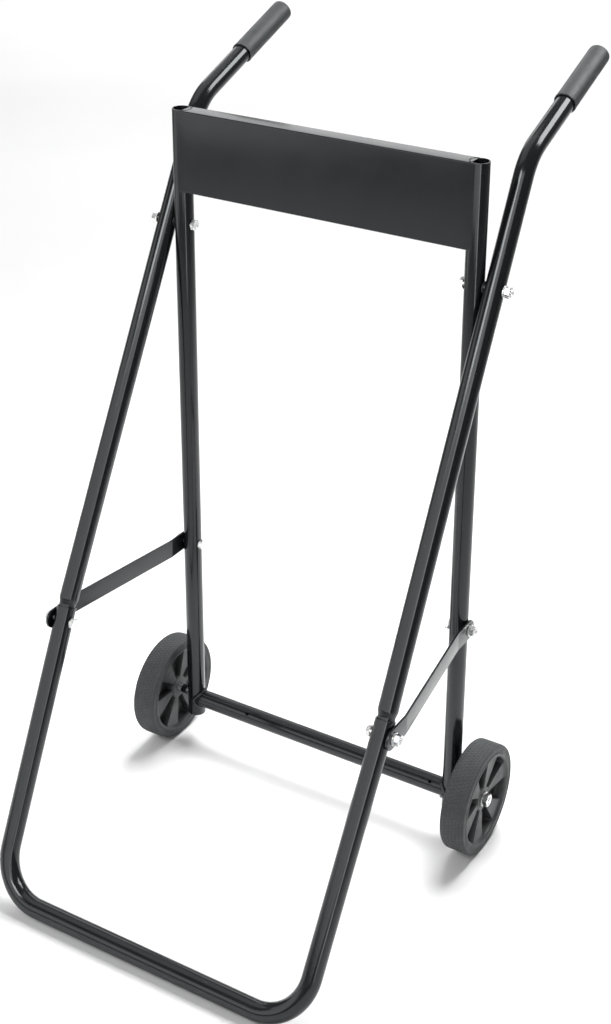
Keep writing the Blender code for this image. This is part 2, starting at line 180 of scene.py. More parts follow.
# Wheels and axles
WHEEL_R = node_size("tyre_right").z / 2.0
WHEEL_X = node_centre("tyre_right").x
WHEEL_WIDTH = node_size("tyre_right").x
# Depths below a wheel's side between which the rim's painted pocket shade fades in
SHADE_RAMP_DEPTHS = (0.0135, 0.0075)
TYRE_INNER_R = 0.0635
HUB_RECESS = 0.0065
HUB_R = 0.0155
BUSH_R = 0.0075
BUSH_SLIP = 0.00006
RIM_OPENING_R = 0.0600
RIM_EDGE = 0.0004
RIM_SEGMENTS = 540
SPOKE_COUNT = 6
SPOKE_HALF_AT_HUB = 0.0035
SPOKE_HALF_AT_RIM = 0.0150
SPOKE_DEPTH_AT_HUB = 0.0072
SPOKE_RISE = 0.0035
POCKET_DEPTH = 0.0148
AXLE_R = 0.005
AXLE_PITCH = 0.00175
AXLE_THREAD_START = 0.001
AXLE_HEX_FLATS = 0.016
AXLE_SPACER_R = 0.0062
AXLE_WASHER_R = 0.010
TREAD_BLOCKS = 96
TREAD_PITCH = 0.0052
TREAD_RELIEF = 0.0009
TREAD_INSET = 0.0007
TREAD_STEPS = 60
SPOKE_START = {"left": math.radians(-6.0), "right": math.radians(-12.0)}

# Studio panels: name, azimuth from and to in degrees counted from +X, height from and to, radiance
PANELS = (
    ("left_panel", -168.0, -142.0, 0.0, 1.9, 1.1),
    ("left_front_panel", -142.0, -122.0, 0.26, 1.9, 1.35),
    ("front_panel", -122.0, -78.0, 0.45, 1.9, 1.55),
    ("front_right_panel", -78.0, -50.0, 0.35, 1.9, 1.85),
    ("upper_panel", -98.0, -50.0, 1.9, 3.2, 2.7),
)
PANEL_DISTANCE = 2.6
PANEL_MIDDLE = Vector((0.0, -0.1, 0.0))

# Softboxes: name, place, target, width, height, radiance, spread in degrees, whether gloss shows it,
# whether it lights matt surfaces
SOFTBOXES = (
    ("edge_strip", (1.28, -1.36, 0.75), (0.1, -0.1, 0.6), 0.24, 1.5, 4.5, 180.0, True, False),
    ("key", (-0.35, -2.3, 2.5), (0.0, 0.0, 0.6), 1.0, 1.0, 9.0, 180.0, True, True),
    ("back", (-1.4, 2.7, 1.95), (0.0, 0.0, 0.9), 3.4, 1.3, 1.6, 180.0, True, True),
    ("ceiling", (-1.4, 0.2, 3.2), (-0.2, -0.1, 0.0), 2.8, 2.8, 0.75, 180.0, True, False),
    ("strip_over", (1.17, 1.21, 2.48), (0.0, 0.25, 0.95), 1.15, 1.15, 10.0, 180.0, True, False),
    ("side_fill", (-1.9, -1.3, 1.7), (0.0, 0.0, 0.4), 1.2, 1.2, 3.0, 180.0, False, True),
    ("top", (0.1, 1.4, 2.7), (0.15, 0.3, 0.0), 1.6, 1.6, 3.0, 72.0, False, True),
    ("far_top", (-2.4, 4.8, 4.4), (-2.4, 4.8, 0.0), 7.0, 5.0, 2.2, 150.0, False, True),
)
ROOM_RADIANCE = 0.22
FLOOR_HALF = 30.0
FLOOR_DROP = 0.0002

CAMERA_PLACE = Vector((0.9938, -1.6591 + REAR_Y, 1.5026))
CAMERA_YAW, CAMERA_PITCH, CAMERA_ROLL = (math.radians(turn) for turn in (29.105, -22.7385, 1.1746))
CAMERA_LENS = 38.8856
CAMERA_SENSOR = 24.0
CAMERA_SHIFT = (-0.06375, -0.175596)

LEG_DIRECTION = Vector((0.0, REAR_Y - FOOT_Y, PIVOT_Z - TUBE_R)).normalized()
GRIP_DIRECTION = Vector((0.0, math.sin(GRIP_ANGLE), math.cos(GRIP_ANGLE)))
FOOT_MID = Vector((0.0, FOOT_Y, TUBE_R))


# ---------------------------------------------------------------- materials

class Nodes:
    """A short way to write one material's node tree. Its texture space is the object's own, in metres."""

    def __init__(self, name):
        self.material = bpy.data.materials.new(name)
        self.material.use_nodes = True
        self.tree = self.material.node_tree
        self.shader = self.tree.nodes["Principled BSDF"]
        self.place = self.tree.nodes.new("ShaderNodeTexCoord").outputs["Object"]

    def add(self, kind, links=(), **settings):
        node = self.tree.nodes.new("ShaderNode" + kind)
        for key, value in settings.items():
            setattr(node, key, value)
        for socket, source in dict(links).items():
            if isinstance(source, bpy.types.NodeSocket):
                self.tree.links.new(source, node.inputs[socket])
            else:
                node.inputs[socket].default_value = source
        return node

    def noise(self, scale, detail=3.0, roughness=0.5, stretch=None):
        place = self.place
        if stretch:
            place = self.add("Mapping", {"Vector": place, "Scale": stretch}).outputs["Vector"]
        links = {"Vector": place, "Scale": scale, "Detail": detail, "Roughness": roughness}
        return self.add("TexNoise", links).outputs["Fac"]

    def remap(self, value, low, high, to_low, to_high):
        links = {"Value": value, "From Min": low, "From Max": high, "To Min": to_low, "To Max": to_high}
        return self.add("MapRange", links).outputs["Result"]

    def mix(self, share, first, second):
        node = self.add("Mix", data_type="RGBA")
        for socket, source in ((0, share), (6, first), (7, second)):
            if isinstance(source, bpy.types.NodeSocket):
                self.tree.links.new(source, node.inputs[socket])
            else:
                node.inputs[socket].default_value = source if socket == 0 else (*source, 1.0)
        return node.outputs[2]

    def bump(self, height, distance, strength=1.0, under=None):
        links = {"Height": height, "Distance": distance, "Strength": strength}
        if under:
            links["Normal"] = under
        return self.add("Bump", links).outputs["Normal"]

    def drive(self, **sources):
        for name, source in sources.items():
            socket = self.shader.inputs[name.replace("_", " ")]
            if isinstance(source, bpy.types.NodeSocket):
                self.tree.links.new(source, socket)
            else:
                socket.default_value = source
        return self.material


def coat_material(name, dark, light, rough, peel, nibs):
    """Stoved paint on steel: slow tone change, soft orange peel, a few fine dust nibs and a bluish gloss."""
    n = Nodes(name)
    haze = n.remap(n.noise(9.0, 5.0, 0.62), 0.35, 0.68, 0.0, 1.0)
    tone = n.mix(haze, dark, light)
    nib = n.remap(n.noise(330.0, 1.0), 0.745, 0.775, 0.0, nibs)
    tone = n.mix(nib, tone, (0.16, 0.165, 0.17))
    roughness = n.remap(n.noise(26.0, 4.0, 0.6), 0.3, 0.7, rough - 0.025, rough + 0.035)
    wavy = n.bump(n.noise(170.0, 2.0, 0.4), peel)
    n.drive(Base_Color=tone, Roughness=roughness, Normal=n.bump(nib, 0.00003, 1.0, wavy), IOR=1.5)
    return n.drive(Specular_Tint=(0.93, 0.975, 1.0, 1.0))


def rubber_material(name, dark, light, rough, grain, scale, pocket_shade=0.0):
    """Matt moulded rubber or soft PVC: fine grain and mottling.

    The last argument, from 0 to 1, is painted shade: it darkens places that lie far in between the two faces
    of a wheel, most near its middle plane.
    """
    n = Nodes(name)
    mottle = n.remap(n.noise(38.0, 5.0, 0.65), 0.32, 0.7, 0.0, 1.0)
    speck = n.remap(n.noise(scale, 3.0, 0.7), 0.42, 0.72, 0.0, 0.5)
    tone = n.mix(speck, n.mix(mottle, dark, light), tuple(1.5 * v for v in light))
    # Painted shade: colour goes towards near-black the closer a place lies to the wheel's middle plane,
    # standing in for the shade in the pockets
    if pocket_shade:
        across = n.add("SeparateXYZ", {"Vector": n.place}).outputs["X"]
        side = n.add("Math", {0: across}, operation="ABSOLUTE").outputs[0]
        off = n.add("Math", {0: side, 1: WHEEL_X}, operation="SUBTRACT").outputs[0]
        off = n.add("Math", {0: off}, operation="ABSOLUTE").outputs[0]
        deepest, shallowest = (WHEEL_WIDTH / 2.0 - depth for depth in SHADE_RAMP_DEPTHS)
        deep = n.remap(off, deepest, shallowest, pocket_shade, 0.0)
        tone = n.mix(deep, tone, (0.004, 0.004, 0.0045))
    roughness = n.remap(n.noise(90.0, 3.0), 0.3, 0.7, rough - 0.07, rough + 0.07)
    coarse = n.bump(n.noise(scale * 0.35, 3.0, 0.6), grain * 1.6, 0.7)
    fine = n.bump(n.noise(scale, 2.0), grain, 1.0, coarse)
    return n.drive(Base_Color=tone, Roughness=roughness, Normal=fine)


def zinc_material(name):
    """Bright zinc plate: bluish and yellowish clouds, fine scratches along the turning direction."""
    n = Nodes(name)
    cloud = n.remap(n.noise(160.0, 4.0, 0.6), 0.35, 0.68, 0.0, 1.0)
    tone = n.mix(cloud, (0.72, 0.74, 0.77), (0.86, 0.85, 0.81))
    scratch = n.noise(900.0, 2.0, 0.5, (0.12, 1.0, 1.0))
    roughness = n.remap(n.noise(300.0, 3.0), 0.3, 0.7, 0.2, 0.38)
    return n.drive(Base_Color=tone, Metallic=1.0, Roughness=roughness, Normal=n.bump(scratch, 0.00002, 0.8))


def nylon_material(name):
    """Black moulded nylon with a soft cloudiness."""
    n = Nodes(name)
    cloud = n.remap(n.noise(120.0, 4.0), 0.35, 0.68, 0.0, 1.0)
    tone = n.mix(cloud, (0.018, 0.019, 0.020), (0.028, 0.029, 0.030))
    roughness = n.remap(n.noise(240.0, 3.0), 0.3, 0.7, 0.42, 0.58)
    return n.drive(Base_Color=tone, Roughness=roughness, Normal=n.bump(n.noise(800.0, 2.0), 0.00002))


BLACK_COAT = coat_material(
    "stoved_black", (0.0060, 0.0068, 0.0076), (0.0084, 0.0095, 0.0106), rough=0.13, peel=0.000007, nibs=0.3)
BOARD_COAT = coat_material(
    "stoved_board", (0.0072, 0.0084, 0.0094), (0.0092, 0.0107, 0.0119), rough=0.20, peel=0.000004, nibs=0.03)
BRACE_COAT = coat_material(
    "stoved_brace", (0.0080, 0.0090, 0.0100), (0.0108, 0.0121, 0.0134), rough=0.22, peel=0.000006, nibs=0.1)
GRIP_RUBBER = rubber_material(
    "grip_pvc", (0.034, 0.037, 0.038), (0.046, 0.050, 0.052), rough=0.54, grain=0.000015, scale=1500.0)
TYRE_RUBBER = rubber_material(
    "tyre_compound", (0.030, 0.033, 0.034), (0.040, 0.043, 0.045), rough=0.58, grain=0.00003, scale=1100.0)
RIM_PLASTIC = rubber_material(
    "rim_moulding_pocket_shade", (0.025, 0.0275, 0.0292), (0.034, 0.0374, 0.040), rough=0.47, grain=0.00002, scale=1300.0,
    pocket_shade=0.97)
ZINC = zinc_material("bright_zinc")
NYLON = nylon_material("nylon")


# ---------------------------------------------------------------- mesh building

def finish_piece(name, bm, material, body, replaced=(), smooth_angle=40.0):
    """Turns a bmesh in the row frame into a shaded piece that rides on a body."""
    bmesh.ops.recalc_face_normals(bm, faces=bm.faces)
    mesh = bpy.data.meshes.new(name)
    bm.to_mesh(mesh)
    bm.free()
    mesh.materials.append(material)
    mesh.shade_smooth()
    mesh.set_sharp_from_angle(angle=math.radians(smooth_angle))
    piece = bpy.data.objects.new(name, mesh)
    bpy.context.scene.collection.objects.link(piece)
    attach(piece, body)
    if replaced:
        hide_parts(*replaced)
    return piece


def step_up(value, low, high):
    """0 below low, 1 above high and a smooth rise between them."""
    share = min(max((value - low) / (high - low), 0.0), 1.0)
    return share * share * (3.0 - 2.0 * share)


def upright_reach(y, extra=0.0):
    """How far from the middle a line along X, y off the uprights' own line, meets an upright's round skin."""
    return UPRIGHT_X - math.sqrt(max(TUBE_R ** 2 - y * y, 0.0) + extra)


def cross_axes(direction):
    reference = X_AXIS if abs(direction.x) < 0.9 else Z_AXIS
    across = (reference - direction * reference.dot(direction)).normalized()
    return across, direction.cross(across)


def ring(bm, centre, across, up, radius, count):
    points = []
    for index in range(count):
        angle = 2.0 * math.pi * index / count
        spread = across * (radius * math.cos(angle)) + up * (radius * math.sin(angle))
        points.append(bm.verts.new(centre + spread))
    return points


def bridge(bm, first, second):
    count = len(first)
    for index in range(count):
        after = (index + 1) % count
        bm.faces.new((first[index], first[after], second[after], second[index]))


def carried_frames(points, closed=False):
    """A cross-section frame at each point of a path, carried along it without twist."""
    frames = []
    across = None
    count = len(points)
    for index, point in enumerate(points):
        before = points[index - 1] if index or closed else points[0]
        after = points[(index + 1) % count] if index + 1 < count or closed else points[-1]
        direction = (after - before).normalized()
        if across is None:
            across, _ = cross_axes(direction)
        across = (across - direction * across.dot(direction)).normalized()
        frames.append((point, across, direction.cross(across), direction))
    return frames


def add_tube(bm, stations, wall=TUBE_WALL, count=ROUND, lip=TUBE_LIP):
    """An open tube along (point, outer radius) stations, with softly rounded rims at both ends."""
    frames = carried_frames([point for point, _ in stations])
    radii = [radius for _, radius in stations]
    outer = [(c, a, u, r) for (c, a, u, _), r in zip(frames, radii)]
    inner = [(c, a, u, r - wall) for (c, a, u, _), r in zip(frames, radii)]
    quarter = [math.radians(turn) for turn in (0.0, 30.0, 60.0, 90.0)]

    def rim(frame, radius, outward):
        centre, across, up, direction = frame
        steps = []
        for angle in quarter:
            shift = direction * (outward * (-lip + lip * math.sin(angle)))
            steps.append((centre + shift, across, up, radius - lip + lip * math.cos(angle)))
        for angle in reversed(quarter):
            shift = direction * (outward * (-lip + lip * math.sin(angle)))
            steps.append((centre + shift, across, up, radius - wall + lip - lip * math.cos(angle)))
        return steps

    loops = rim(frames[0], radii[0], -1.0)[::-1] + outer[1:-1]
    loops += rim(frames[-1], radii[-1], 1.0) + inner[1:-1][::-1]
    rings = [ring(bm, c, a, u, r, count) for c, a, u, r in loops]
    for first, second in zip(rings, rings[1:] + rings[:1]):
        bridge(bm, first, second)


def straight(start, end, radius, count):
    return [(start.lerp(end, index / (count - 1)), radius) for index in range(count)]


def arc_points(corner, before, after, radius, steps):
    """The arc that rounds a corner between the directions before and after it."""
    turn = before.angle(after)
    inset = radius * math.tan(turn / 2.0)
    normal = (after - before * after.dot(before)).normalized()
    centre = corner - before * inset + normal * radius
    points = []
    for index in range(steps + 1):
        angle = turn * index / steps
        points.append(centre - normal * (radius * math.cos(angle)) + before * (radius * math.sin(angle)))
    return points


def eased(points, closed, steps):
    """(a, b, fillet radius) corners of an outline with each corner rounded by its own radius."""
    out = []
    count = len(points)
    for index, (a, b, radius) in enumerate(points):
        here = Vector((a, b))
        if radius <= 0.0 or (not closed and index in (0, count - 1)):
            out.append((a, b))
            continue
        before = Vector(points[index - 1][:2]) - here
        after = Vector(points[(index + 1) % count][:2]) - here
        half = before.angle(after) / 2.0
        reach = min(radius / math.tan(half), 0.49 * before.length, 0.49 * after.length)
        start, end = here + before.normalized() * reach, here + after.normalized() * reach
        for step in range(steps + 1):
            t = step / steps
            out.append(tuple(start * (1 - t) ** 2 + here * (2 * t * (1 - t)) + end * t ** 2))
    return out


def add_turned(bm, profile, origin, axis, count=ROUND, closed=True):
    """Turns (radius, height) points round an axis. An open profile starts and ends on the axis."""
    across, up = cross_axes(axis)
    rows = []
    for radius, height in profile:
        centre = origin + axis * height
        if radius < 1e-7:
            rows.append([bm.verts.new(centre)])
        else:
            rows.append(ring(bm, centre, across, up, radius, count))
    pairs = list(zip(rows, rows[1:]))
    if closed:
        pairs.append((rows[-1], rows[0]))
    for first, second in pairs:
        if len(first) == 1:
            for index in range(count):
                bm.faces.new((first[0], second[(index + 1) % count], second[index]))
        elif len(second) == 1:
            for index in range(count):
                bm.faces.new((first[index], first[(index + 1) % count], second[0]))
        else:
            bridge(bm, first, second)


def add_bead(bm, points, radius, ripple, pitch, closed):
    """A weld bead along a path: a round section whose size swells and shrinks with each puddle."""
    frames = carried_frames(points, closed)
    travelled = 0.0
    rings = []
    for index, (centre, across, up, _) in enumerate(frames):
        if index:
            travelled += (centre - frames[index - 1][0]).length
        phase = (travelled / pitch) % 1.0
        uneven = BEAD_UNEVEN * math.sin(travelled * BEAD_WAVE)
        swell = 1.0 + ripple * (1.0 - 4.0 * (phase - 0.5) ** 2) + uneven
        taper = 1.0
        if not closed:
            share = index / (len(frames) - 1)
            taper = max(0.05, min(1.0, 12.0 * share, 12.0 * (1.0 - share))) ** 0.5
        rings.append(ring(bm, centre, across, up, radius * swell * taper, BEAD_SEGMENTS))
    for first, second in zip(rings, rings[1:]):
        bridge(bm, first, second)
    if closed:
        bridge(bm, rings[-1], rings[0])
    else:
        bm.faces.new(rings[0])
        bm.faces.new(list(reversed(rings[-1])))


# ---------------------------------------------------------------- tubes, board and welds

def foot_corner(sign):
    return FOOT_MID + X_AXIS * (sign * FOOT_X)


def joint_point(sign):
    return FOOT_MID + LEG_DIRECTION * JOINT_S + X_AXIS * (sign * HANDLE_X)


def leg_point(sign, height):
    corner, top = foot_corner(sign), joint_point(sign)
    return corner.lerp(top, (height - corner.z) / (top.z - corner.z))


def build_upright(side, sign):
    bm = bmesh.new()
    low = Vector((sign * UPRIGHT_X, REAR_Y, UPRIGHT_BOTTOM))
    high = Vector((sign * UPRIGHT_X, REAR_Y, UPRIGHT_TOP))
    add_tube(bm, straight(low, high, TUBE_R, 4))
    finish_piece("upright_tube_" + side, bm, BLACK_COAT, "frame", ["upright_" + side])


def build_u_foot():
    bm = bmesh.new()
    halves = []
    for sign in (-1, 1):
        top, corner = joint_point(sign), foot_corner(sign)
        down = (corner - top).normalized()
        bend = arc_points(corner, down, X_AXIS * -sign, FOOT_BEND_R, 28)
        halves.append([top, top + down * PLUG_NECK] + bend)
    path = halves[0] + halves[1][::-1]
    add_tube(bm, [(point, TUBE_R) for point in path])
    finish_piece("u_foot_tube", bm, BLACK_COAT, "frame", ["u_foot"])


def handle_bend(sign):
    corner = FOOT_MID + LEG_DIRECTION * BEND_S + X_AXIS * (sign * HANDLE_X)
    return arc_points(corner, LEG_DIRECTION, GRIP_DIRECTION, HANDLE_BEND_R, 24)


def build_handle(side, sign):
    """The lower end is drawn down: plug, short neck, then a smooth swell to the full tube."""
    joint = joint_point(sign)
    down = (foot_corner(sign) - joint).normalized()
    stations = [(joint + down * PLUG_LENGTH, PLUG_R), (joint + down * PLUG_NECK, PLUG_R), (joint, PLUG_R)]
    for index in range(SWELL_STEPS + 1):
        share = index / SWELL_STEPS
        rise = SWELL_START + SWELL_LENGTH * share
        stations.append((joint + LEG_DIRECTION * rise, PLUG_R + (TUBE_R - PLUG_R) * step_up(share, 0.0, 1.0)))
    bend = handle_bend(sign)
    stations += [(point, TUBE_R) for point in bend]
    stations.append((bend[-1] + GRIP_DIRECTION * HANDLE_END, TUBE_R))
    bm = bmesh.new()
    add_tube(bm, stations)
    finish_piece("handle_tube_" + side, bm, BLACK_COAT, "frame", ["handle_" + side])


def add_between_uprights(bm, sections, shares):
    """A hollow bar along X with ends that fit the uprights, from its outer and its inner (y, z) outline."""
    skins = []
    for outline in sections:
        loops = []
        for share in shares:
            points = [(share * upright_reach(y), REAR_Y + y, z) for y, z in outline]
            loops.append([bm.verts.new(point) for point in points])
        for first, second in zip(loops, loops[1:]):
            bridge(bm, first, second)
        skins.append(loops)
    for end in (0, -1):
        bridge(bm, skins[0][end], skins[1][end])


def build_crossbar():
    """Tube with saddle-cut ends that meet the uprights all round, and a small vent hole near each end."""
    bm = bmesh.new()
    sections = []
    for radius in (TUBE_R, TUBE_R - TUBE_WALL):
        turns = [2.0 * math.pi * index / ROUND for index in range(ROUND)]
        sections.append([(radius * math.cos(turn), CROSSBAR_Z + radius * math.sin(turn)) for turn in turns])
    add_between_uprights(bm, sections, [-1.0, -0.5, 0.0, 0.5, 1.0])
    bar = finish_piece("crossbar_tube", bm, BLACK_COAT, "frame", ["crossbar"])
    outward = Vector((0.0, -math.cos(VENT_ANGLE), math.sin(VENT_ANGLE)))
    drill = bmesh.new()
    for x in VENT_X:
        skin = Vector((x, REAR_Y, CROSSBAR_Z)) + outward * TUBE_R
        profile = [(0.0, -VENT_DEPTH), (VENT_R, -VENT_DEPTH), (VENT_R, -VENT_EDGE),
                   (VENT_R + VENT_FLARE, VENT_PROUD), (0.0, VENT_PROUD)]
        add_turned(drill, profile, skin, outward, VENT_SEGMENTS, False)
    cut_with(bar, drill)


def cut_with(piece, bm):
    """Takes the closed shapes of bm out of a piece for good."""
    bmesh.ops.recalc_face_normals(bm, faces=bm.faces)
    mesh = bpy.data.meshes.new("drill")
    bm.to_mesh(mesh)
    bm.free()
    drill = bpy.data.objects.new("drill", mesh)
    bpy.context.scene.collection.objects.link(drill)
    modifier = piece.modifiers.new("drill", "BOOLEAN")
    modifier.operation = "DIFFERENCE"
    modifier.solver = "EXACT"
    modifier.object = drill
    graph = bpy.context.evaluated_depsgraph_get()
    cut = bpy.data.meshes.new_from_object(piece.evaluated_get(graph))
    piece.modifiers.clear()
    piece.data = cut
    cut.shade_smooth()
    cut.set_sharp_from_angle(angle=math.radians(40.0))
    bpy.data.objects.remove(drill, do_unlink=True)


def build_board():
    """Box section with rounded long edges. Its ends are cut round the uprights."""
    bm = bmesh.new()
    sections = []
    for inset, edge in ((0.0, BOARD_EDGE_R), (BOARD_WALL, BOARD_INNER_EDGE_R)):
        depth, low, high = TUBE_R - inset, BOARD_LOW.z + inset, BOARD_HIGH.z - inset
        corners = [(-depth, low, edge), (depth, low, edge), (depth, high, edge), (-depth, high, edge)]
        sections.append(eased(corners, True, 5))
    half = BOARD_STATIONS // 2
    add_between_uprights(bm, sections, [index / half for index in range(-half, half + 1)])
    finish_piece("board_section", bm, BOARD_COAT, "frame", ["mounting_board"])


def build_welds():
    """Painted beads where the crossbar and the board meet the uprights."""
    for side, sign in SIDES:
        bm = bmesh.new()
        saddle = []
        for index in range(WELD_SADDLE_STEPS):
            angle = 2.0 * math.pi * index / WELD_SADDLE_STEPS
            y, z = (TUBE_R + 0.0002) * math.cos(angle), (TUBE_R + 0.0002) * math.sin(angle)
            reach = upright_reach(y, WELD_SADDLE_R ** 2) - 0.0006
            saddle.append(Vector((sign * reach, REAR_Y + y, CROSSBAR_Z + z)))
        add_bead(bm, saddle, WELD_SADDLE_R, 0.2, 0.0028, True)
        for height in (BOARD_HIGH.z - WELD_RIM_INSET, BOARD_LOW.z + WELD_RIM_INSET):
            arc = []
            for index in range(WELD_RIM_STEPS + 1):
                angle = math.radians(WELD_HALF_ARC * (2.0 * index / WELD_RIM_STEPS - 1.0))
                x = UPRIGHT_X - WELD_RIM_LINE * math.cos(angle)
                arc.append(Vector((sign * x, REAR_Y + WELD_RIM_LINE * math.sin(angle), height)))
            add_bead(bm, arc, WELD_RIM_R, 0.16, 0.0024, False)
        foot, top = (Vector((sign * (UPRIGHT_X - 0.0030), REAR_Y + TUBE_R - 0.0008, z))
                     for z in (BOARD_LOW.z + WELD_REAR_INSET, BOARD_HIGH.z - WELD_REAR_INSET))
        rear = [foot.lerp(top, index / (WELD_REAR_STEPS - 1)) for index in range(WELD_REAR_STEPS)]
        add_bead(bm, rear, WELD_REAR_R, 0.2, 0.0030, False)
        finish_piece("weld_beads_" + side, bm, BLACK_COAT, "frame", smooth_angle=60.0)


# ---------------------------------------------------------------- grips and braces

def build_grip(side, sign):
    """Sleeve with a rolled lip at its mouth and a softly domed, closed end."""
    origin = handle_bend(sign)[-1] + GRIP_DIRECTION * (HANDLE_END - GRIP_LENGTH + GRIP_PAST_TUBE)
    bore = TUBE_R + SLIP
    outline = [
        (bore, 0.0, 0.0002), (GRIP_R, 0.0, 0.0005),
        (GRIP_R, 0.0022, 0.0004), (GRIP_R - 0.0003, 0.0026, 0.0004),
        (GRIP_R - 0.0003, GRIP_LENGTH - 0.006, 0.001), (GRIP_R - 0.0004, GRIP_LENGTH - 0.0008, 0.0016),
        (GRIP_R - 0.0032, GRIP_LENGTH, 0.002),
    ]
    floor = GRIP_LENGTH - GRIP_CAP
    profile = [(0.0, floor), (bore, floor)] + eased(outline, False, 5)
    profile += [(0.006, GRIP_LENGTH), (0.0, GRIP_LENGTH)]
    bm = bmesh.new()
    add_turned(bm, profile, origin, GRIP_DIRECTION, closed=False)
    finish_piece("grip_sleeve_" + side, bm, GRIP_RUBBER, "frame", ["grip_" + side])
    lip = bmesh.new()
    inner, outer = bore - SLIP / 2.0, GRIP_R - 0.0006
    roll = [
        (inner, -0.0008, 0.0003), (outer, -0.0008, 0.0005),
        (outer, 0.0004, 0.0002), (inner, 0.0004, 0.0001),
    ]
    add_turned(lip, eased(roll, True, 3), origin, GRIP_DIRECTION)
    finish_piece("grip_lip_" + side, lip, BLACK_COAT, "frame")


def brace_path(sign):
    """Plan of the brace's middle layer with its two bends drawn as small arcs."""
    front = leg_point(sign, BRACE_Z)
    outward = sign * (TUBE_R + BRACE_THICK / 2.0)
    rear_x = sign * (UPRIGHT_X + GAP) + outward
    front_x = front.x + sign * BRACE_LEG_GAP + outward
    corners = [
        Vector((rear_x, REAR_Y + BRACE_REAR_OVERHANG, 0.0)), Vector((rear_x, REAR_Y - BRACE_BEND, 0.0)),
        Vector((front_x, front.y + BRACE_BEND, 0.0)), Vector((front_x, front.y - BRACE_FRONT_OVERHANG, 0.0)),
    ]
    path = [corners[0]]
    for before, here, after in zip(corners, corners[1:], corners[2:]):
        into, out = (here - before).normalized(), (after - here).normalized()
        path += arc_points(here, into, out, BRACE_BEND_R, 8)
    return path + [corners[-1]]


def build_brace(side, sign):
    """Flat bar with rounded edges and semicircular ends, swept along its bent plan."""
    path = brace_path(sign)
    lengths = [0.0]
    for first, second in zip(path, path[1:]):
        lengths.append(lengths[-1] + (second - first).length)
    total = lengths[-1]
    half_w, half_t = BRACE_WIDTH / 2.0, BRACE_THICK / 2.0
    corner, edge = BRACE_CORNER, BRACE_EDGE_R
    marks = set(lengths)
    for index in range(BRACE_CORNER_STEPS + 1):
        step = corner * (1.0 - math.cos(math.radians(90.0) * index / BRACE_CORNER_STEPS))
        marks |= {step, total - step}
    bm = bmesh.new()
    rows = []
    for mark in sorted(marks):
        spot = max(index for index, length in enumerate(lengths[:-1]) if length <= mark + 1e-9)
        here, after = path[spot], path[spot + 1]
        along = (after - here).normalized()
        point = here + along * (mark - lengths[spot])
        if 0 < spot and mark - lengths[spot] < 1e-9:
            along = (along + (here - path[spot - 1]).normalized()).normalized()
        normal = Vector((-along.y, along.x, 0.0))
        near = min(mark, total - mark)
        inset = 0.0 if near >= corner else corner - math.sqrt(max(corner ** 2 - (corner - near) ** 2, 0.0))
        height = max(half_w - inset, edge + 0.0004)
        corners = ((-half_t, -height), (half_t, -height), (half_t, height), (-half_t, height))
        outline = eased([(t, z, edge) for t, z in corners], True, 3)
        rows.append([bm.verts.new(point + normal * t + Z_AXIS * (BRACE_Z + z)) for t, z in outline])
    for first, second in zip(rows, rows[1:]):
        bridge(bm, first, second)
    bm.faces.new(rows[0])
    bm.faces.new(list(reversed(rows[-1])))
    finish_piece("brace_bar_" + side, bm, BRACE_COAT, "frame", ["brace_" + side])


# ---------------------------------------------------------------- fasteners

def hex_radius(flats, angle):
    return flats / 2.0 / math.cos((angle % math.radians(60.0)) - math.radians(30.0))


def hex_ring(bm, origin, axis, flats, heights, turn, count=ROUND):
    """A ring of points on a hexagon prism. heights(radius) gives each point's height along the axis."""
    across, up = cross_axes(axis)
    points = []
    for index in range(count):
        angle = 2.0 * math.pi * index / count
        radius = hex_radius(flats, angle)
        spread = across * math.cos(angle + turn) + up * math.sin(angle + turn)
        points.append(bm.verts.new(origin + spread * radius + axis * heights(radius)))
    return points


def round_ring(bm, origin, axis, radius, height, turn, count=ROUND):
    across, up = cross_axes(axis)
    points = []
    for index in range(count):
        angle = 2.0 * math.pi * index / count + turn
        spread = across * math.cos(angle) + up * math.sin(angle)
        points.append(bm.verts.new(origin + spread * radius + axis * height))
    return points


def chamfer(flats, height, sense):
    """Height of a hexagon's edge where a 30 degree cone cuts its corners. sense is 1 on top and -1 below."""
    start = 0.96 * flats / 2.0
    return lambda radius: height - sense * (radius - start) * math.tan(math.radians(30.0))


def add_head(bm, origin, axis, flats, thick, turn):
    """Bolt head from height 0 at its washer face to thick at its top, with a shallow dished top."""
    half, step = flats / 2.0, 0.0003
    rings = [
        round_ring(bm, origin, axis, 0.92 * half, 0.0, turn),
        round_ring(bm, origin, axis, 0.92 * half, step, turn),
        hex_ring(bm, origin, axis, flats, lambda radius: step, turn),
        hex_ring(bm, origin, axis, flats, chamfer(flats, thick, 1.0), turn),
        round_ring(bm, origin, axis, 0.96 * half, thick, turn),
        round_ring(bm, origin, axis, 0.72 * half, thick, turn),
        round_ring(bm, origin, axis, 0.66 * half, thick - 0.0004, turn),
    ]
    for first, second in zip(rings, rings[1:]):
        bridge(bm, first, second)
    bm.faces.new(rings[0])
    bm.faces.new(list(reversed(rings[-1])))


def add_nut(bm, origin, axis, flats, thick, hole, turn):
    """Hexagon nut with cut corners on both faces and a countersunk hole."""
    face, sink = 0.95 * flats / 2.0, 0.0005
    rings = [
        round_ring(bm, origin, axis, hole, 0.0004, turn),
        round_ring(bm, origin, axis, hole + sink, 0.0, turn),
        round_ring(bm, origin, axis, face, 0.0, turn),
        hex_ring(bm, origin, axis, flats, chamfer(flats, 0.0, -1.0), turn),
        hex_ring(bm, origin, axis, flats, chamfer(flats, thick, 1.0), turn),
        round_ring(bm, origin, axis, face, thick, turn),
        round_ring(bm, origin, axis, hole + sink, thick, turn),
        round_ring(bm, origin, axis, hole, thick - 0.0004, turn),
    ]
    for first, second in zip(rings, rings[1:] + rings[:1]):
        bridge(bm, first, second)


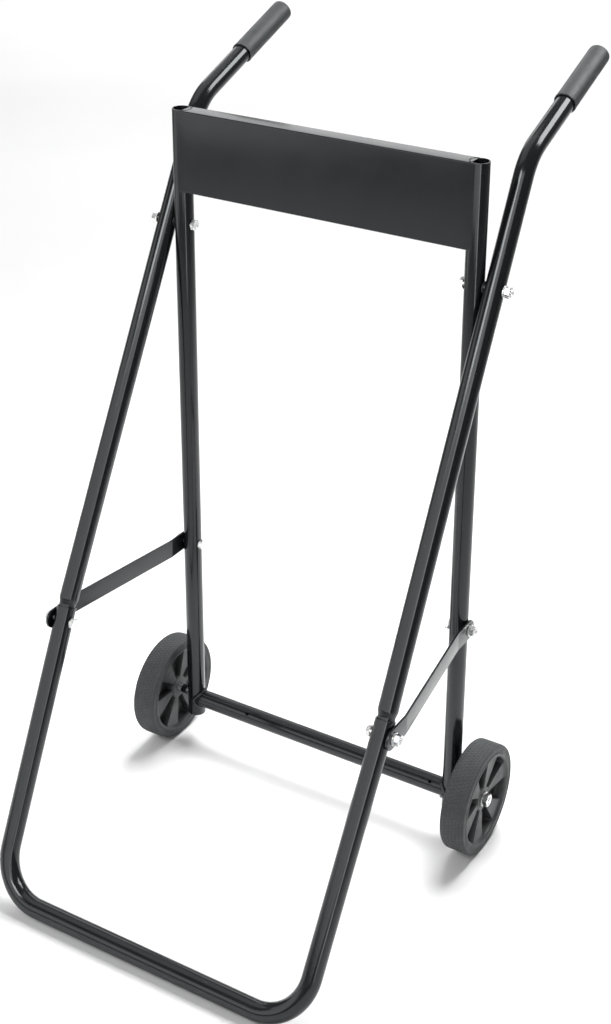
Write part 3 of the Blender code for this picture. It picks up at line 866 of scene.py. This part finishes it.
def add_threaded_rod(bm, origin, axis, radius, start, end, pitch, plain_to):
    """A rod from start to end whose part past plain_to carries a helical thread, with a chamfered tip."""
    across, up = cross_axes(axis)
    count = THREAD_SEGMENTS
    rows = []
    steps = max(int((end - plain_to) / pitch * THREAD_STEPS_PER_TURN), 4)
    heights = [start, plain_to - 0.0002] + [plain_to + (end - plain_to) * k / steps for k in range(steps + 1)]
    depth = 0.55 * pitch
    for height in heights:
        row = []
        for index in range(count):
            angle = 2.0 * math.pi * index / count
            local = radius
            if height >= plain_to:
                phase = (height / pitch - index / count) % 1.0
                local = radius - depth * abs(2.0 * phase - 1.0)
                local = min(local, radius - 0.0002 - 0.9 * max(0.0, 0.9 * pitch - (end - height)))
            spread = across * math.cos(angle) + up * math.sin(angle)
            row.append(bm.verts.new(origin + spread * local + axis * height))
        rows.append(row)
    for first, second in zip(rows, rows[1:]):
        bridge(bm, first, second)
    bm.faces.new(rows[0])
    bm.faces.new(list(reversed(rows[-1])))


def add_washer_shape(bm, origin, axis, outer, hole, thick):
    edge = WASHER_EDGE_R
    outline = [(hole, 0.0, edge / 2), (outer, 0.0, edge), (outer, thick, edge), (hole, thick, edge / 2)]
    add_turned(bm, eased(outline, True, 3), origin, axis, RING_SEGMENTS)


def seat_of(node, sign):
    """The middle of the node's face on the inner side of the stand, and the node's length along X."""
    low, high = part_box(node)
    centre = (low + high) / 2.0
    return Vector((low.x if sign > 0 else high.x, centre.y, centre.z)), high.x - low.x


def build_fastener_set(label, side, sign, turn):
    """Bolt, washer and nut in the places that their CAD nodes hold."""
    out = X_AXIS * sign
    bolt, washer, nut = (f"{label}_{kind}_{side}" for kind in ("bolt", "washer", "nut"))
    washer_seat, washer_thick = seat_of(washer, sign)
    nut_seat, nut_thick = seat_of(nut, sign)
    bolt_seat, length = seat_of(bolt, sign)
    line = Vector((0.0, washer_seat.y, washer_seat.z))
    inner = line + X_AXIS * bolt_seat.x
    plain_to = abs(nut_seat.x - bolt_seat.x) - BOLT_THREAD_START
    bm = bmesh.new()
    add_head(bm, inner + out * BOLT_HEAD_THICK, -out, HEX_FLATS, BOLT_HEAD_THICK, turn)
    add_threaded_rod(bm, inner, out, BOLT_R, BOLT_HEAD_THICK, length, BOLT_PITCH, plain_to)
    finish_piece(f"{label}_screw_{side}", bm, ZINC, "frame", [bolt], SMALL_PART_ANGLE)
    bm = bmesh.new()
    add_washer_shape(bm, washer_seat, out, WASHER_R, BOLT_R + GAP, washer_thick)
    finish_piece(f"{label}_disc_{side}", bm, ZINC, "frame", [washer], SMALL_PART_ANGLE)
    bm = bmesh.new()
    add_nut(bm, line + X_AXIS * nut_seat.x, out, HEX_FLATS, nut_thick, BOLT_R + SLIP, turn + 0.3)
    finish_piece(f"{label}_hexnut_{side}", bm, ZINC, "frame", [nut], SMALL_PART_ANGLE)


def build_pivot_spacer(side):
    node = "pivot_spacer_" + side
    seat, thick = seat_of(node, 1)
    bm = bmesh.new()
    add_washer_shape(bm, seat, X_AXIS, PIVOT_SPACER_R, BOLT_R + GAP, thick)
    finish_piece("pivot_shim_" + side, bm, NYLON, "frame", [node], SMALL_PART_ANGLE)


def build_axle(side, sign):
    """Threaded stub axle with its nut, and the spacer and washer on either side of the wheel."""
    out = X_AXIS * sign
    axle, nut = "axle_" + side, "axle_nut_" + side
    start, length = seat_of(axle, sign)
    nut_seat, nut_thick = seat_of(nut, sign)
    plain_to = abs(nut_seat.x - start.x) - AXLE_THREAD_START
    bm = bmesh.new()
    add_threaded_rod(bm, start, out, AXLE_R, 0.0, length, AXLE_PITCH, plain_to)
    finish_piece("axle_stub_" + side, bm, ZINC, "frame", [axle], SMALL_PART_ANGLE)
    bm = bmesh.new()
    nut_seat = Vector((nut_seat.x, start.y, start.z))
    add_nut(bm, nut_seat, out, AXLE_HEX_FLATS, nut_thick, AXLE_R + SLIP, 0.2)
    finish_piece("axle_hexnut_" + side, bm, ZINC, "frame", [nut], SMALL_PART_ANGLE)
    rings = (
        ("spacer", AXLE_SPACER_R, BLACK_COAT, "black_coat"),
        ("washer", AXLE_WASHER_R, ZINC, "zinc_steel"),
    )
    for label, radius, material, slot in rings:
        node = f"axle_{label}_{side}"
        seat, thick = seat_of(node, 1)
        bm = bmesh.new()
        seat = Vector((seat.x, start.y, start.z))
        add_washer_shape(bm, seat, X_AXIS, radius, AXLE_R + SLIP, thick)
        finish_piece(f"axle_{label}_ring_{side}", bm, material, "frame", [node], SMALL_PART_ANGLE)


# ---------------------------------------------------------------- wheels

def tread_height(turn, x):
    """How far the tread stands above its groove floor, 0 to 1, at this turn of the wheel and x across it."""
    half = WHEEL_WIDTH / 2.0
    place = turn / (2.0 * math.pi) * TREAD_BLOCKS

    def along(shift):
        phase = (place + shift) % 1.0
        return step_up(phase, 0.06, 0.22) * (1.0 - step_up(phase, 0.78, 0.94))

    total = 0.0
    for row in (-2, -1, 0, 1, 2):
        off = abs(x - row * TREAD_PITCH) - 0.5 * TREAD_PITCH
        total += along(0.5 * row) * (1.0 - step_up(off, -0.0011, -0.0003))
    inner = 2.5 * TREAD_PITCH
    shoulder = step_up(abs(x), inner + 0.0002, inner + 0.0010)
    shoulder *= 1.0 - step_up(abs(x), half - 0.0012, half - 0.0004)
    return min(total + along(0.5) * shoulder, 1.0)


def add_wheel_shell(bm, centre, outline, count, closed):
    """Turns an outline round the wheel's axle. Each place in it is a function from turn to (x, radius)."""
    rows = []
    for spot in outline:
        row = []
        for index in range(count):
            turn = 2.0 * math.pi * index / count
            x, radius = spot(turn)
            place = Vector((x, -radius * math.cos(turn), radius * math.sin(turn)))
            row.append(bm.verts.new(centre + place))
        rows.append(row)
    for first, second in zip(rows, rows[1:] + rows[:1] if closed else rows[1:]):
        bridge(bm, first, second)
    return rows


def tyre_spot(radius, x, relief=0.0):
    if relief:
        return lambda turn: (x, radius - relief * (1.0 - tread_height(turn, x)))
    return lambda turn: (x, radius)


def rim_spot(radius, sense, start, edge):
    reach = WHEEL_WIDTH / 2.0 - edge
    return lambda turn: (sense * (reach - rim_face(radius, turn, start)), radius)


def build_tyre(side):
    """Tyre with rows of small blocks: centre rows staggered, shoulder lugs that run over the edge."""
    half = WHEEL_WIDTH / 2.0
    crown = []
    for index in range(TREAD_STEPS + 1):
        x = (half - TREAD_INSET) * (2.0 * index / TREAD_STEPS - 1.0)
        fall = max(0.0, abs(x) - (half - 0.0052))
        crown.append(tyre_spot(WHEEL_R - 0.0016 * (fall / 0.0045) ** 2, x, TREAD_RELIEF))
    wall = eased([
        (TYRE_INNER_R, half, 0.0), (0.0655, half, 0.0004),
        (0.0658, half - 0.0006, 0.0003), (0.0690, half - 0.0006, 0.0003),
        (0.0694, half - 0.0001, 0.0004), (0.0722, half - 0.0003, 0.0012),
        (0.0732, half - 0.0007, 0.0),
    ], False, 3)
    low_wall = [tyre_spot(radius, -x) for radius, x in wall]
    high_wall = [tyre_spot(radius, x) for radius, x in reversed(wall)]
    bore = [tyre_spot(TYRE_INNER_R, half * share) for share in (0.5, 0.0, -0.5)]
    bm = bmesh.new()
    outline = low_wall + crown + high_wall + bore
    add_wheel_shell(bm, node_centre("tyre_" + side), outline, 8 * TREAD_BLOCKS, True)
    name, body = "tyre_tread_" + side, "wheel_" + side
    finish_piece(name, bm, TYRE_RUBBER, body, ["tyre_" + side], MOULDED_ANGLE)


def smooth_min(values, blend):
    total = sum(math.exp(-value / blend) for value in values)
    return -blend * math.log(total)


def rim_face(radius, angle, start):
    """How deep the wheel centre's side face lies below the wheel's side at this place."""
    sector = 2.0 * math.pi / SPOKE_COUNT
    off = ((angle - start + sector / 2.0) % sector) - sector / 2.0
    share = min(max((radius - HUB_R) / (RIM_OPENING_R - HUB_R), 0.0), 1.0)
    spoke_half = SPOKE_HALF_AT_HUB + (SPOKE_HALF_AT_RIM - SPOKE_HALF_AT_HUB) * share
    beside = abs(radius * math.sin(off)) - spoke_half
    inside = smooth_min((beside, RIM_OPENING_R - 0.0008 - radius, radius - HUB_R - 0.0005), 0.0009)
    spoke = SPOKE_DEPTH_AT_HUB - SPOKE_RISE * share
    if radius > RIM_OPENING_R - 0.004:
        spoke *= 1.0 - step_up(radius, RIM_OPENING_R - 0.004, RIM_OPENING_R + 0.0026)
    depth = spoke + (POCKET_DEPTH - spoke) * step_up(inside, -0.0002, 0.0014)
    if radius < HUB_R + 0.002:
        depth = HUB_RECESS + (depth - HUB_RECESS) * step_up(radius, HUB_R - 0.0002, HUB_R + 0.0014)
    return depth


def build_rim(side):
    """Moulded wheel centre: dished face, six spokes that widen outwards, and rounded pockets between them."""
    centre = node_centre("tyre_" + side)
    outer, bore = TYRE_INNER_R - SLIP, BUSH_R + SLIP
    radii = {bore, bore + 0.0004}
    radii |= {HUB_R - 0.0006 + 0.0006 * k for k in range(6)}
    radii |= {HUB_R + 0.0030 + 0.0011 * k for k in range(1, 35)}
    radii |= {0.0575 + 0.0005 * k for k in range(12)}
    radii = sorted(radius for radius in radii if radius < outer) + [outer]
    bm = bmesh.new()
    faces = []
    for sense in (1.0, -1.0):
        outline = [rim_spot(radius, sense, SPOKE_START[side], 0.0) for radius in radii]
        outline[-1] = rim_spot(outer, sense, SPOKE_START[side], RIM_EDGE)
        faces.append(add_wheel_shell(bm, centre, outline, RIM_SEGMENTS, False))
    for end in (-1, 0):
        bridge(bm, faces[0][end], faces[1][end])
    name, body = "wheel_centre_" + side, "wheel_" + side
    finish_piece(name, bm, RIM_PLASTIC, body, ["rim_" + side], MOULDED_ANGLE)


def build_bush(side):
    node = "bush_" + side
    seat, length = seat_of(node, 1)
    hole = AXLE_R + BUSH_SLIP
    corners = ((hole, 0.0), (BUSH_R, 0.0), (BUSH_R, length), (hole, length))
    outline = eased([(radius, x, WASHER_EDGE_R) for radius, x in corners], True, 3)
    bm = bmesh.new()
    place = Vector((seat.x, *node_centre("tyre_" + side).yz))
    add_turned(bm, outline, place, X_AXIS, RING_SEGMENTS)
    finish_piece("wheel_bush_" + side, bm, NYLON, "wheel_" + side, [node], SMALL_PART_ANGLE)


# ---------------------------------------------------------------- floor, light and camera

def build_floor():
    n = Nodes("pale_floor")
    tone = n.mix(n.remap(n.noise(2.2, 4.0), 0.3, 0.7, 0.0, 1.0), (0.86, 0.86, 0.86), (0.88, 0.88, 0.88))
    n.drive(Base_Color=tone, Roughness=0.9, Specular_IOR_Level=0.1)
    bm = bmesh.new()
    bmesh.ops.create_grid(bm, x_segments=4, y_segments=4, size=FLOOR_HALF)
    mesh = bpy.data.meshes.new("floor")
    bm.to_mesh(mesh)
    bm.free()
    mesh.materials.append(n.material)
    floor = bpy.data.objects.new("floor", mesh)
    floor.location = (0.0, 0.0, -FLOOR_DROP)
    bpy.context.scene.collection.objects.link(floor)


def add_area(name, place, target, width, height, radiance, spread, mirrored, lighting):
    """A softbox with this radiance over its face. The camera doesn't see the box itself.

    mirrored says whether gloss shows it, lighting whether it lights matt surfaces.
    """
    light = bpy.data.lights.new(name, "AREA")
    light.shape = "RECTANGLE"
    light.size, light.size_y = width, height
    light.energy = radiance * math.pi * width * height
    light.spread = math.radians(spread)
    obj = bpy.data.objects.new(name, light)
    obj.location = place
    obj.rotation_euler = (Vector(target) - Vector(place)).to_track_quat("-Z", "Y").to_euler()
    obj.visible_camera = False
    obj.visible_glossy = mirrored
    obj.visible_diffuse = lighting
    bpy.context.scene.collection.objects.link(obj)


def build_light():
    """Dim room, a ring of pale panels from the left round to the front, a back softbox and overhead boxes."""
    scene = bpy.context.scene
    world = bpy.data.worlds.new("studio")
    world.use_nodes = True
    background = world.node_tree.nodes["Background"]
    background.inputs["Color"].default_value = (1.0, 1.0, 1.0, 1.0)
    background.inputs["Strength"].default_value = ROOM_RADIANCE
    scene.world = world
    scene.view_settings.view_transform = "Standard"
    for name, from_turn, to_turn, low, high, radiance in PANELS:
        turn, wide = math.radians((from_turn + to_turn) / 2.0), math.radians(to_turn - from_turn)
        out = Vector((math.cos(turn), math.sin(turn), 0.0)) * PANEL_DISTANCE
        centre = PANEL_MIDDLE + Z_AXIS * ((low + high) / 2.0)
        width = 2.0 * PANEL_DISTANCE * math.tan(wide / 2.0)
        add_area(name, centre + out, centre, width, high - low, radiance, 180.0, True, False)
    for softbox in SOFTBOXES:
        add_area(*softbox)


def build_camera():
    yaw, pitch, roll = CAMERA_YAW, CAMERA_PITCH, CAMERA_ROLL
    forward = Vector((-math.sin(yaw) * math.cos(pitch), math.cos(yaw) * math.cos(pitch), math.sin(pitch)))
    right = Vector((math.cos(yaw), math.sin(yaw), 0.0))
    up = right.cross(forward)
    rolled_right = right * math.cos(roll) + up * math.sin(roll)
    rolled_up = up * math.cos(roll) - right * math.sin(roll)
    data = bpy.data.cameras.new("camera")
    data.sensor_fit = "VERTICAL"
    data.sensor_height = data.sensor_width = CAMERA_SENSOR
    data.lens = CAMERA_LENS
    data.shift_x, data.shift_y = CAMERA_SHIFT
    data.clip_start = 0.05
    camera = bpy.data.objects.new("camera", data)
    basis = Matrix((rolled_right, rolled_up, -forward)).transposed().to_4x4()
    camera.matrix_world = Matrix.Translation(CAMERA_PLACE) @ basis
    bpy.context.scene.collection.objects.link(camera)
    bpy.context.scene.camera = camera


build_camera()
build_light()
build_floor()
build_board()
build_crossbar()
build_u_foot()
build_welds()
for piece_side, piece_sign in SIDES:
    build_upright(piece_side, piece_sign)
    build_handle(piece_side, piece_sign)
    build_grip(piece_side, piece_sign)
    build_brace(piece_side, piece_sign)
    build_fastener_set("pivot", piece_side, piece_sign, 0.25)
    build_fastener_set("rear_brace", piece_side, piece_sign, 0.6)
    build_fastener_set("front_brace", piece_side, piece_sign, 0.95)
    build_pivot_spacer(piece_side)
    build_axle(piece_side, piece_sign)
    build_tyre(piece_side)
    build_rim(piece_side)
    build_bush(piece_side)
